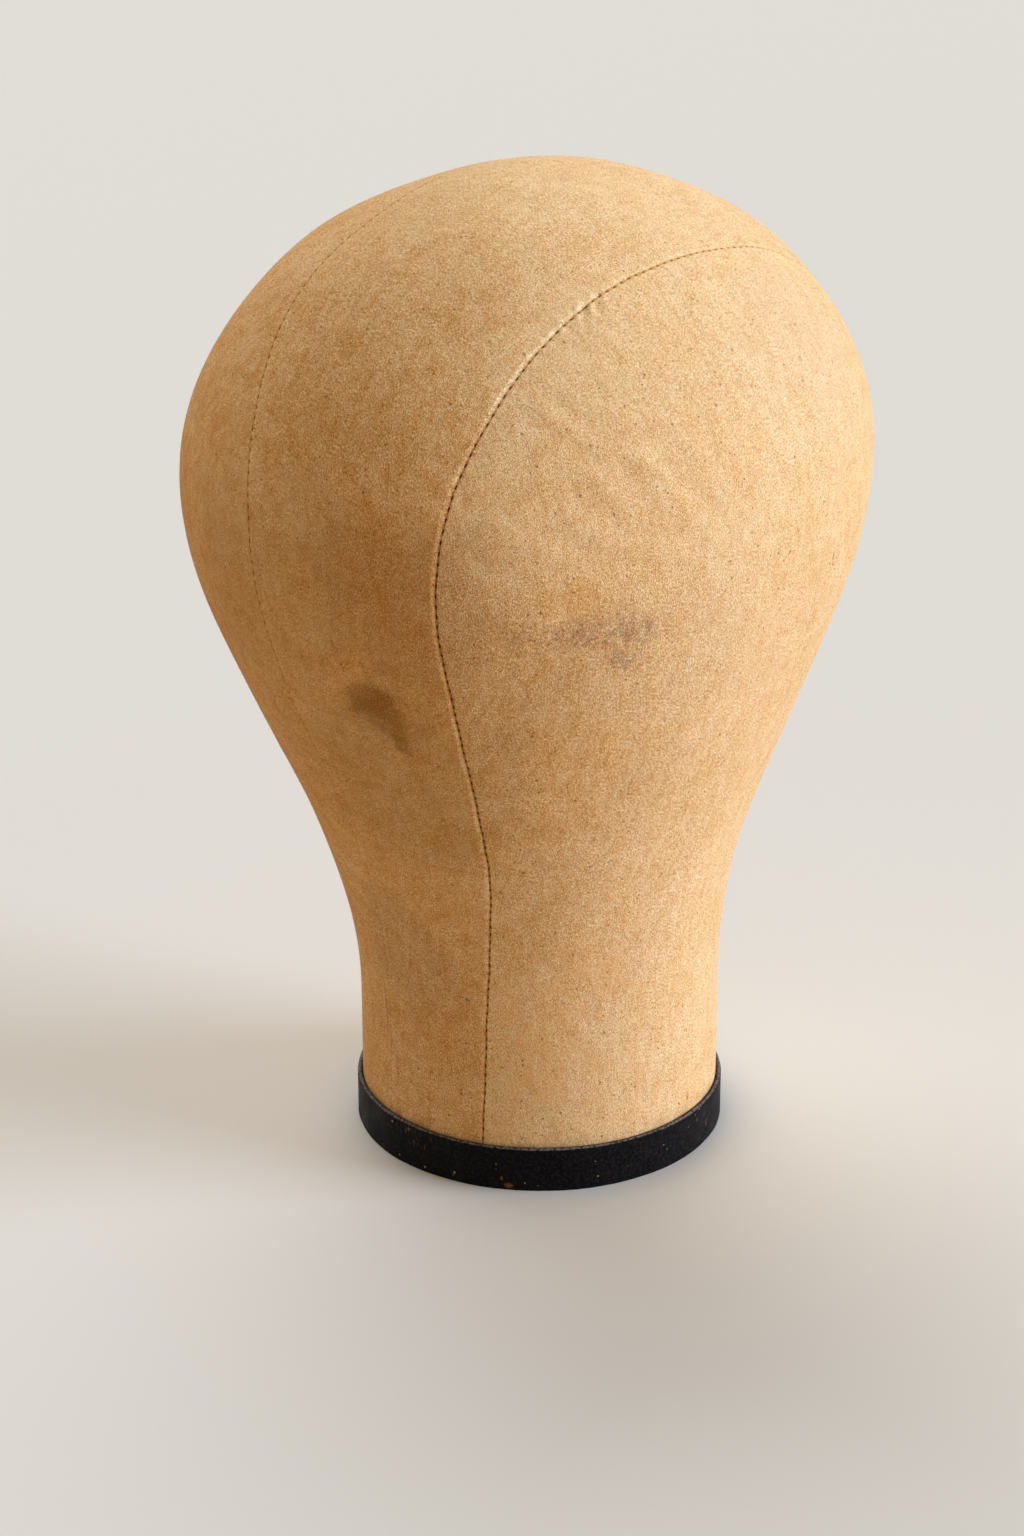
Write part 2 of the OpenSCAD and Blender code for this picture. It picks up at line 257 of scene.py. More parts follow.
def outward_of(p):
    """Direction square to the form at point p: the slope of (x / w)^2 + (y / l)^2 below the widest
    level, where w and l change with height, and of the dome's ellipsoid above it."""
    x, z = p[..., 0], p[..., 2]
    y = p[..., 1] - axis_y(z)
    low = np.minimum(z, widest_z)
    step = 0.1 * MM
    w, l = half_sizes(low)
    (w0, l0), (w1, l1) = half_sizes(low - step), half_sizes(np.minimum(low + step, widest_z))
    dw, dl = (w1 - w0) / (2 * step), (l1 - l0) / (2 * step)
    dy = (axis_y(z + step) - axis_y(z - step)) / (2 * step)
    below = np.stack([x / w**2, y / l**2, -x**2 * dw / w**3 - y**2 * dl / l**3 - y * dy / l**2], -1)
    above = np.stack([x / head_half_w**2, y / head_half_l**2, (z - widest_z) / dome_h**2], -1)
    slope = np.where((z > widest_z)[..., None], above, below)
    return slope / np.linalg.norm(slope, axis=-1, keepdims=True)


wave_count = 10
wave_height = 0.10 * MM
wave_random = np.random.default_rng(7)
wave_ways = wave_random.normal(size=(wave_count, 3))
wave_lengths = wave_random.uniform(30, 100, wave_count) * MM
wave_ways *= (2 * np.pi / wave_lengths / np.linalg.norm(wave_ways, axis=1))[:, None]
wave_starts = wave_random.uniform(0, 2 * np.pi, wave_count)


def packed_lumps(p):
    """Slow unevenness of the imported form: a sum of plane waves 30 to 100 mm long, fading out
    towards the neck, where the plug is round."""
    waves = np.sin(p @ wave_ways.T + wave_starts).sum(-1)
    return wave_height * waves * share_of(p[..., 2], 20 * MM, 70 * MM)


def stand(name, data):
    """An object of this mesh, lamp or camera, put into the scene."""
    thing = bpy.data.objects.new(name, data)
    bpy.context.scene.collection.objects.link(thing)
    return thing


def surface(name, points, cells, finish, **values):
    """A smooth mesh of four-cornered cells. A cell with two like corners becomes a triangle, and
    points that no cell uses are dropped. Values are numbers per point, or UVs if they are pairs."""
    used, cells = np.unique(cells, return_inverse=True)
    cells = cells.reshape(-1, 4)
    like = cells == np.roll(cells, -1, axis=1)
    whole = cells[~like.any(1)]
    some = cells[like.sum(1) == 1]
    first = np.argmax(like[like.sum(1) == 1], axis=1)
    corners = (first[:, None] + np.array([1, 2, 3])) % 4
    thirds = np.take_along_axis(some, corners, axis=1)
    mesh = bpy.data.meshes.new(name)
    mesh.from_pydata(points[used].tolist(), [], whole.tolist() + thirds.tolist())
    mesh.polygons.foreach_set("use_smooth", np.ones(len(mesh.polygons), bool))
    corner_points = np.empty(len(mesh.loops), np.int32)
    mesh.loops.foreach_get("vertex_index", corner_points)
    for key, value in values.items():
        value = value[used]
        if value.ndim == 2:
            pairs = value[corner_points].astype(np.float32).ravel()
            mesh.uv_layers.new(name=key).data.foreach_set("uv", pairs)
        else:
            mark = mesh.attributes.new(key, "FLOAT", "POINT")
            mark.data.foreach_set("value", value.astype(np.float32))
    mesh.update()
    mesh.materials.append(finish)
    piece = stand(name, mesh)
    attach(piece, "root")
    return piece


def cells_of(numbers):
    """Four-cornered cells between neighbours of a grid of point numbers, or of a stack of grids."""
    near, far = numbers[..., :-1, :], numbers[..., 1:, :]
    return np.stack([near[..., :-1], near[..., 1:], far[..., 1:], far[..., :-1]], -1).reshape(-1, 4)


finish, tree, shader = new_finish("packed_fibre", Roughness=1.0)
where = object_vector(tree)
tangle = cloud(stretched(where, (1, 0.2, 1), (0.4, 0.9, 0.2)), 0.4, 5.0, 0.7)
clumps = carry(cloud(where, 8), 0.4, 0.7, 0, 0.5)
colour = coats(seen(110, 92, 70), (tangle, (196, 176, 144)), (clumps, (148, 116, 80)))
feed(shader, {"Base Color": colour, "Normal": raise_by(times(tangle, 0.5 * MM))})

heights = np.concatenate([widest_z + dome_h * np.cos(np.linspace(0, np.pi / 2, stuffing_rows // 2)),
                          np.linspace(widest_z, plug_top, stuffing_rows // 2)[1:]])[:, None]
round_about = np.linspace(0, 2 * np.pi, stuffing_columns + 1)
narrow = np.sqrt(1 - share_of(heights, widest_z, crown_z) ** 2)
w, l = (size * narrow for size in half_sizes(heights))
level_y = axis_y(heights) - l * np.cos(round_about)
outer = np.stack(np.broadcast_arrays(w * np.sin(round_about), level_y, heights), -1)
outer = outer - (canvas_t + fit - packed_lumps(outer)[..., None]) * outward_of(outer)
outer[0] = outer[0, 0]
outer[-1, :, 2] = plug_top
bore = np.stack([np.sin(round_about), -np.cos(round_about), 0 * round_about], -1) * (post_r + fit)
bore_foot, bore_top = [0, 0, plug_top], [0, 0, post_top + fit]
stack = np.concatenate([outer, [bore + bore_foot, bore + bore_top, 0 * bore + bore_top]])
numbers = np.arange(stack.shape[0] * stack.shape[1]).reshape(stack.shape[:2])
numbers[:, -1] = numbers[:, 0]
numbers[0] = numbers[0, 0]
numbers[-1] = numbers[-1, 0]
stuffing = surface("stuffing_fill", stack.reshape(-1, 3), cells_of(numbers)[:, ::-1], finish)
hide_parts("stuffing")

# Canvas cover.
# Three panels of heavy tan cotton canvas, sewn and turned, a long one over the middle and one on
# each side, drawn tight over the stuffing and turned under the plug. Pins, hands and damp mark it.
# Its tone and some broad patches also carry painted light and shade.

lip_r = 0.8 * MM
hem_w = 11 * MM
hem_bend_r = 2 * MM
hem_z = 2.6 * MM
hem_r = neck_r - hem_w
bend_z = hem_z + hem_bend_r
bend_c = neck_r - hem_bend_r
row_step = 0.45 * MM
stitch_pitch = 2.6 * MM
seam_draw = 0.20 * MM
seam_valley = 5 * MM
seam_puff = 0.13 * MM
puff_reach = 1.3 * MM
# degrees from the middle, at every quarter of v from the front of the neck to the back
right_seam = np.radians([14.6, 16.6, 23.7, 23.7, 22.7, 28.7, 36.4, 38, 32, 25, 20, 18])
left_seam = np.radians([22.2, 21.1, 13.8, 11.1, 12.1, 18.3, 13.6, 14.5, 17, 19, 19, 18])


def seam_angle(marks, v):
    """Smooth curve through the marks: a cubic between each two, with its slopes taken from their
    neighbours."""
    i = np.floor(v * 4).astype(int)
    f = v * 4 - i
    p0, p1, p2, p3 = (marks[np.clip(i + k, 0, len(marks) - 1)] for k in (-1, 0, 1, 2))
    bend = 2 * p0 - 5 * p1 + 4 * p2 - p3
    return p1 + 0.5 * f * (p2 - p0 + f * (bend + f * (3 * (p1 - p2) + p3 - p0)))


# Rows of the cover from the front hem over the crown to the back hem: the hem under the plug,
# the bend, the neck and cheeks, and a quarter of the dome, then the same in reverse.
low_n = round((widest_z - bend_z) / row_step)
dome_n = round(np.pi / 4 * (head_half_l + dome_h) / row_step)
bend_n, under_n = 8, 8
bend_v = bend_z / widest_z
half_v = np.concatenate([np.full(under_n + bend_n, bend_v), np.linspace(bend_v, 1, low_n + 1),
                         1 + 0.5 * np.arange(1, dome_n + 1) / dome_n])
half_turn = np.zeros(len(half_v))
half_turn[:under_n] = np.pi / 2
half_turn[under_n:under_n + bend_n] = np.linspace(np.pi / 2, 0, bend_n, endpoint=False)
half_slide = np.zeros(len(half_v))
half_slide[:under_n] = np.linspace(1, 0, under_n, endpoint=False)
row_v = np.concatenate([half_v, 3 - half_v[-2::-1]])[:, None]
row_turn = np.concatenate([half_turn, half_turn[-2::-1]])[:, None]
row_slide = np.concatenate([half_slide, half_slide[-2::-1]])[:, None]
row_n = len(row_v)
ear_row = under_n + bend_n + low_n
row_level = widest_z * np.minimum(np.minimum(row_v, 3 - row_v), 1)
above_rim = share_of(row_level, 13 * MM, 26 * MM)


def cover_place(a, depth):
    """Points of the cover, rows by angles, this deep below its outer face. In the hem the row turns
    in a quarter circle about the plug's edge and then runs in level under the plug."""
    form = head_place(row_v, a)
    body = form - np.asarray(depth)[..., None] * outward_of(form)
    reach = bend_c + (hem_bend_r - depth) * np.cos(row_turn) - row_slide * (bend_c - hem_r)
    facing = np.where(row_v < 1.5, -1, 1)
    hem = np.stack(np.broadcast_arrays(reach * np.sin(a), facing * reach * np.cos(a),
                                       bend_z - (hem_bend_r - depth) * np.sin(row_turn)), -1)
    return np.where((row_turn > 0)[..., None], hem, body)


def per_angle(a):
    """Length of cover, per unit of angle, across a row."""
    step = 0.005
    apart = head_place(row_v, a + step) - head_place(row_v, a - step)
    return np.linalg.norm(apart, axis=-1) / (2 * step)


def run_along(points):
    """Length run from the first row to each row."""
    return np.concatenate([[0], np.cumsum(np.linalg.norm(np.diff(points, axis=0), axis=1))])


def hand_guided(run, start):
    """How far a hand-guided seam strays sideways from its curve: two sines of the run."""
    slow, quick = np.sin(run / (5.3 * MM) + start), np.sin(run / (1.9 * MM) + 2 * start)
    return MM * (0.09 * slow + 0.05 * quick)


right_a = seam_angle(right_seam, row_v)
right_run = run_along(cover_place(right_a, 0)[:, 0])[:, None]
right_a = right_a + hand_guided(right_run, 1) / per_angle(right_a)
left_a = seam_angle(left_seam, row_v)
left_run = run_along(cover_place(-left_a, 0)[:, 0])[:, None]
left_a = left_a + hand_guided(left_run, 4) / per_angle(-left_a)
# how open and dark each seam is along v: the right one gapes over the brow, the left one is tight
right_open = np.interp(row_v, [0, 0.5, 1.0, 1.2, 1.5, 1.62, 1.9, 3],
                       [0.95, 0.95, 1.0, 0.90, 0.72, 0.4, 0.5, 0.7])
left_open = np.interp(row_v, [0, 0.6, 0.85, 1.0, 1.2, 1.35, 1.6, 1.9, 3],
                      [0.2, 0.18, 0.40, 0.70, 0.74, 0.68, 0.5, 0.5, 0.6])
# how far the middle panel's lip stands proud of the right seam, and how much painted highlight
# it takes: most from the jaw to above the brow
right_lip_rise_and_highlight = np.interp(row_v, [0, 0.4, 0.7, 0.85, 1.0, 1.15, 1.25, 1.35, 1.6],
                      [0.26, 0.36, 0.85, 0.95, 1.0, 1.0, 0.85, 0.2, 0.1])

pull_count = 400
pull_random = np.random.default_rng(21)
stitch_pull = pull_random.uniform(0.3, 1.0, pull_count)


def seam_lift(distance, run, opened):
    """The seam draws the cloth in, in a valley that fades over 5 mm, and between stitches the lips
    of the seam puff up in a cosine of the stitch pitch, each stitch with a pull of its own."""
    beat = run / stitch_pitch
    pull = np.interp(beat, np.arange(pull_count), stitch_pull)
    puff = -seam_puff * pull * np.cos(2 * np.pi * beat) * np.exp(-distance / puff_reach)
    return opened * (puff - seam_draw * np.exp(-(distance / seam_valley) ** 2))


# patches of creases: centre, reach, way across the creases, their length and height, in mm
creases = (
    # drawn in by the sewing, at the forehead
    ((43.5, -47.5, 234), 5, (0.85, 0.5, 0.1), 3.2, 0.32),
    ((48.5, -42.5, 233), 5, (0.8, 0.55, 0.2), 3.4, 0.20),
    ((39.5, -55, 233), 4, (0.75, 0.6, 0.2), 2.8, 0.14),
    ((37, -86, 199), 8, (0.9, 0.3, 0.3), 4.5, 0.08),
    # stretched over the temple
    ((71, -48, 191), 8, (0.5, 0.45, 0.74), 9, 0.46),
    ((65, -57, 203), 9, (0.7, 0.5, 0.5), 9, 0.40),
    ((60, -62, 208), 8, (0.2, 0.3, 0.93), 8, 0.28),
    ((49, -68, 214), 9, (0.3, 0.55, 0.78), 7, 0.19),
    ((57, -70, 192), 9, (0.6, 0.25, 0.76), 9, 0.34),
    ((46, -80, 190), 8, (0.45, 0.2, 0.87), 6, 0.19),
    ((70, -44, 205), 8, (0.3, 0.8, 0.5), 9, 0.30),
    # faint ones on the cheeks and neck
    ((66, -56, 172), 14, (0.3, 0.2, 0.93), 12, 0.10),
    ((45, -60, 112), 16, (0.3, 0.1, 0.95), 12, 0.09),
    ((-20, -60, 110), 16, (0.2, -0.1, 0.97), 11, 0.07),
    ((38, -32, 40), 12, (0.5, 0.5, 0.7), 9, 0.07))


def gathered(p):
    """Short creases beside the seam and where the cloth was stretched: waves of 3 to 12 mm within
    soft round patches."""
    lift = 0
    for centre, reach, way, length, height in creases:
        apart = p - np.array(centre) * MM
        patch = np.exp(-(np.linalg.norm(apart, axis=-1) / (reach * MM)) ** 2)
        phase = 2 * np.pi / (length * MM) * (apart @ np.array(way))
        lift = lift + height * MM * patch * np.cos(phase)
    return lift


edge_steps = np.array([0, 0.04, 0.1, 0.18, 0.28, 0.42, 0.6, 0.85, 1.2, 1.8, 2.6, 3.8, 5.6]) * MM
edge_roll = lip_r - np.sqrt(np.clip(lip_r**2 - np.clip(lip_r - edge_steps, 0, None) ** 2, 0, None))
proud_lip = 0.13 * MM
proud_at = 0.35 * MM
proud_w = 0.25 * MM
middle_columns = 22
inner_columns = 14
side_columns = 30
side_inner_columns = 12
side_levels = 200


def lip_depth(run, opened):
    """Share of the full roll that a lip takes: deep where a stitch pulls it in, shallow between, by
    the square of a raised cosine of the stitch pitch."""
    pulled = (0.5 + 0.5 * np.cos(2 * np.pi * run / stitch_pitch)) ** 2
    return (0.25 + 0.75 * opened) * (0.10 + 0.25 * pulled)


def cloth_marks(face_a, back_a, off, run, opened, lip_highlight, tone_and_light):
    """Numbers per point for the finish: distance from the seam, stitches run, how open the seam is,
    how much painted highlight its lip takes, and the tone with its painted light and shade. The
    inner face has those of plain cloth."""
    marks = {"seam_gap": (off, 1.0), "seam_beat": (run / stitch_pitch, 0.0),
             "seam_open": (opened, 0.0), "seam_lip_highlight": (lip_highlight, 0.0), "tone_and_light": (tone_and_light, 0.7)}
    return {key: np.hstack([np.broadcast_to(face, face_a.shape),
                            np.full(back_a.shape, back)]).ravel()
            for key, (face, back) in marks.items()}


def spread_over(count, wanted):
    """Numbers of count columns, spread evenly over the wanted number of columns."""
    return np.round(np.linspace(0, count - 1, wanted)).astype(int)


def closed(numbers):
    """A grid of point numbers with its first column again at the end, to make rings of its rows."""
    return np.concatenate([numbers, numbers[..., :1]], axis=-1)


def centre_cloth(name, finish, tones_and_light):
    """The middle panel: each row is a closed loop, out along the face from the left seam to the
    right with a rolled lip at each, and back along the inner face. The right lip stands a little
    proud. The two tones, each the cloth's tone with painted light and shade in it, are those beside
    the right seam and 20 mm from it."""
    from_left = -left_a + edge_steps / per_angle(-left_a)
    to_right = (right_a - edge_steps / per_angle(right_a))[:, ::-1]
    between = np.linspace(0, 1, middle_columns + 2)[1:-1]
    middle = from_left[:, -1:] + (to_right[:, :1] - from_left[:, -1:]) * between
    face_a = np.hstack([from_left, middle, to_right])
    back_a = right_a - (right_a + left_a) * np.linspace(0, 1, inner_columns)
    left_off = (face_a + left_a) * per_angle(-left_a)
    right_off = (right_a - face_a) * per_angle(right_a)
    nearer_left = left_off < right_off
    off = np.where(nearer_left, left_off, right_off)
    run = np.where(nearer_left, left_run, right_run)
    opened = np.where(nearer_left, left_open, right_open)
    tone_and_light = tones_and_light[0] + (tones_and_light[1] - tones_and_light[0]) * share_of(right_off, 3 * MM, 20 * MM)
    roll = np.concatenate([edge_roll, 0 * between, edge_roll[::-1]]) * lip_depth(run, opened)
    form, form_back = head_place(row_v, face_a), head_place(row_v, back_a)
    hump = np.exp(-((off - proud_at) / proud_w) ** 2)
    proud = proud_lip * np.where(nearer_left, 0, right_lip_rise_and_highlight) * hump
    lift = above_rim * (seam_lift(off, run, opened) + proud + gathered(form)) + packed_lumps(form)
    inner = cover_place(back_a, canvas_t - packed_lumps(form_back))
    loop = np.hstack([cover_place(face_a, roll - lift), inner])
    mid_a = (right_a - left_a) / 2
    along = run_along(cover_place(mid_a, 0)[:, 0])[:, None]
    angles = np.hstack([face_a, back_a])
    cloth = np.stack(np.broadcast_arrays((angles - mid_a) * per_angle(mid_a), along), -1)
    m, n = face_a.shape[1], loop.shape[1]
    numbers = np.arange(row_n * n).reshape(row_n, n)
    hems = []
    for line, way in ((numbers[0], -1), (numbers[-1], 1)):
        under = line[m:][::-1][spread_over(n - m, m)]
        hems.append(cells_of(np.stack([line[:m], under]))[:, ::way])
    cells = np.concatenate([cells_of(closed(numbers)), *hems])
    lip_highlight = np.where(nearer_left, 0.1, right_lip_rise_and_highlight)
    return surface(name, loop.reshape(-1, 3), cells, finish, Cloth=cloth.reshape(-1, 2),
                   **cloth_marks(face_a, back_a, off, run, opened, lip_highlight, tone_and_light))


def side_cloth(name, finish, seam_a, run, opened, side, tones_and_light):
    """A side panel: rows run from the seam to the middle of the side, where the front row and the
    back row of one height meet; the dome's rows all meet at the ear point. An outer and an inner
    face are joined along the seam and the hem. Side is 1 on the right and -1 on the left; the two
    tones, each the cloth's tone with painted light and shade in it, are those beside the seam and
    70 mm from it."""
    lips = seam_a + edge_steps / per_angle(seam_a)
    beyond = np.linspace(0, 1, side_columns + 1)[1:]
    face_a = np.hstack([lips, lips[:, -1:] + (np.pi / 2 - lips[:, -1:]) * beyond])
    n, m = face_a.shape[1], side_inner_columns
    back_a = seam_a + (np.pi / 2 - seam_a) * np.linspace(0, 1, m)
    off = (face_a - seam_a) * per_angle(seam_a)
    tone_and_light = tones_and_light[0] + (tones_and_light[1] - tones_and_light[0]) * share_of(off, 5 * MM, 70 * MM)
    roll = np.concatenate([edge_roll, 0 * beyond]) * lip_depth(run, opened)
    form, form_back = (head_place(row_v, a) * [side, 1, 1] for a in (face_a, back_a))
    lift = above_rim * (seam_lift(off, run, opened) + gathered(form)) + packed_lumps(form)
    inner = cover_place(back_a, canvas_t - packed_lumps(form_back))
    points = np.hstack([cover_place(face_a, roll - lift), inner])
    points[..., 0] *= side
    levels = np.linspace(0, 1, side_levels)
    side_run = np.interp(row_level / widest_z, levels, run_along(head_place(levels, np.pi / 2)))
    steps = np.linalg.norm(np.diff(form, axis=1), axis=-1)
    from_spine = np.hstack([np.cumsum(steps[:, ::-1], axis=1)[:, ::-1], np.zeros((row_n, 1))])
    turn = np.pi * np.clip(2 - row_v, 0, 1)
    cloth = np.stack([from_spine * np.cos(turn), side_run + from_spine * np.sin(turn)], -1)
    cloth = np.hstack([cloth, cloth[:, spread_over(n, m)]])
    numbers = np.arange(row_n * (n + m)).reshape(row_n, n + m)
    meet = np.minimum(np.minimum(np.arange(row_n), row_n - 1 - np.arange(row_n)), ear_row)
    for last in (n - 1, n + m - 1):
        numbers[:, last] = numbers[meet, last]
    out, back = numbers[:, :n], numbers[:, n:]
    edge = np.stack([back[:, 0], out[:, 0]], -1)
    cells = [cells_of(out), cells_of(back)[:, ::-1], cells_of(edge)]
    for row, way in ((0, -1), (-1, 1)):
        cells.append(cells_of(np.stack([out[row], back[row][spread_over(m, n)]]))[:, ::way])
    return surface(name, points.reshape(-1, 3), np.concatenate(cells)[:, ::side], finish,
                   Cloth=cloth.reshape(-1, 2),
                   **cloth_marks(face_a, back_a, off, run, opened, 0.0, tone_and_light))


# Dots strewn at random: one in each cell of a jittered grid, kept where the cell's own random
# number is under the share.
strewn, given, end = new_group(
    "Strewn dots", {"Vector": "Vector", "Spacing": "Float", "Size": "Float", "Share": "Float"},
    {"Mask": "Float"})
per_metre = reckon("DIVIDE", 1.0, given["Spacing"])
grid = join("TexVoronoi", {"Vector": given["Vector"], "Scale": per_metre}, feature="F1")
far = times(grid["Distance"], given["Spacing"])
chance = join("SeparateColor", {0: grid["Color"]})
size = times(given["Size"], reckon("MULTIPLY_ADD", chance["Green"], 0.8, 0.5))
inside = reckon("SUBTRACT", 1.0, carry(reckon("DIVIDE", far, size), 0.55, 1.0))
kept = reckon("LESS_THAN", chance["Red"], given["Share"])
feed(end, {"Mask": times(inside, kept)})


def dots(vector, spacing, size, share):
    """Mask of strewn dots of a size and a spacing in mm."""
    spacing, size = spacing * MM, size * MM
    return use_group(strewn, Vector=vector, Spacing=spacing, Size=size, Share=share)["Mask"]


# A soft-edged patch round a centre, its outline broken up by noise.
patch, given, end = new_group(
    "Ragged patch",
    {"Vector": "Vector", "Centre": "Vector", "Reach": "Vector", "Ragged": "Float", "Lump": "Float"},
    {"Mask": "Float"})
shifted = on_vectors("SUBTRACT", given["Vector"], given["Centre"])["Vector"]
scaled = on_vectors("DIVIDE", shifted, given["Reach"])["Vector"]
far = on_vectors("LENGTH", scaled)["Value"]
per_metre = reckon("DIVIDE", 1.0, given["Lump"])
lumps = join("TexNoise", {"Vector": given["Vector"], "Scale": per_metre, "Detail": 3.0})[0]
broken = reckon("MULTIPLY_ADD", reckon("SUBTRACT", lumps, 0.5), given["Ragged"], far)
feed(end, {"Mask": reckon("SUBTRACT", 1.0, carry(broken, 0.45, 1.10))})


def ragged_patch(vector, centre, reach, ragged, lump):
    """Mask of a ragged patch, with its centre, its reach and the size of its lumps in mm."""
    centre, reach = ([length * MM for length in lengths] for lengths in (centre, reach))
    return use_group(patch, Vector=vector, Centre=centre, Reach=reach, Ragged=ragged,
                     Lump=lump * MM)["Mask"]


finish, tree, shader = new_finish("tan_canvas", Roughness=0.95, Specular_IOR_Level=0.03,
                                  Sheen_Roughness=0.5, Sheen_Tint=seen(255, 240, 220))
where = object_vector(tree)
cloth = place(tree, "UVMap", uv_map="Cloth")[0]
gap, beat, opened, lip_highlight, tone_and_light = (
    place(tree, "Attribute", attribute_name=key)["Fac"]
    for key in ("seam_gap", "seam_beat", "seam_open", "seam_lip_highlight", "tone_and_light"))
height = join("SeparateXYZ", {0: where})["Z"]

# plain weave: the product of two sines, one across the warp and one across the weft
thread_w = 0.33 * MM
stray_lump, stray_by = 6 * MM, 1.2 * MM
stray = join("TexNoise", {"Vector": cloth, "Scale": 1 / stray_lump})["Color"]
stray = join("VectorMath", {0: stray, 3: stray_by}, operation="SCALE")[0]
apart = join("SeparateXYZ", {0: on_vectors("ADD", cloth, stray)["Vector"]})
across, along = (reckon("SINE", times(apart[axis], math.pi / thread_w)) for axis in "XY")
weave = times(across, along)

# nap raised from the threads: short tufts that lie down the cloth
nap = cloud(stretched(cloth, (1.0, 0.5, 1.0), (0, 0, 0.12)), 0.32, 3.0, 0.62)
grit = cloud(cloth, 0.24, 1.0)
tufts = cloud(stretched(cloth, (1.0, 0.6, 1.0), (0, 0, -0.25)), 1.1, 2.0, 0.55)
strokes = cloud(stretched(cloth, (1.0, 0.22, 1.0), (0, 0, 0.6)), 1.8, 2.0)
mottle = cloud(where, 2.0, 2.0, 0.55)
spots = cloud(where, 5.5, 3.0, 0.6)
pools = cloud(where, 26, 4.0, 0.5)

# the tone runs from a deep warm tan to a pale one; the dark, warm low end is partly painted shade
colour = lay(tone_and_light, seen(214, 161, 90), seen(253, 225, 183))
blotted = carry(tone_and_light, 0.6, 1.0, 0.95, 0.5)
for blot, low, high, share, tint in (
        (pools, 0.36, 0.64, 0.80, (0.94, 0.86, 0.72, 1.0)),
        (spots, 0.40, 0.70, 1.0, (0.91, 0.82, 0.67, 1.0)),
        (mottle, 0.38, 0.70, 1.0, (0.91, 0.84, 0.72, 1.0))):
    laid_share = times(blotted, carry(blot, low, high, 0.0, share))
    colour = lay(laid_share, colour, tint, "MULTIPLY")

# raised fibres catch light and shade the gaps between them: as much lighter as darker to the eye
eye_gamma = 2.2
fibre_tint = (0.74, 1.0, 1.14, 1.0)
napped = reckon("MINIMUM", carry(tone_and_light, 0.35, 0.7, 0.78, 1.0), carry(tone_and_light, 0.88, 1.0, 1.0, 0.75))
rough = 0.0
for fibre, low, high, reach in (
        (strokes, 0.36, 0.64, 0.045), (tufts, 0.34, 0.64, 0.05), (nap, 0.32, 0.68, 0.30),
        (grit, 0.34, 0.66, 0.27)):
    rough = reckon("ADD", rough, carry(fibre, low, high, -reach / 2, reach / 2))
shade = lay(1.0, times(napped, rough), fibre_tint, "MULTIPLY")
colour = join("Gamma", {0: colour, 1: 1 / eye_gamma})[0]
colour = lay(1.0, colour, shade, "ADD")
colour = join("Gamma", {0: colour, 1: eye_gamma})[0]
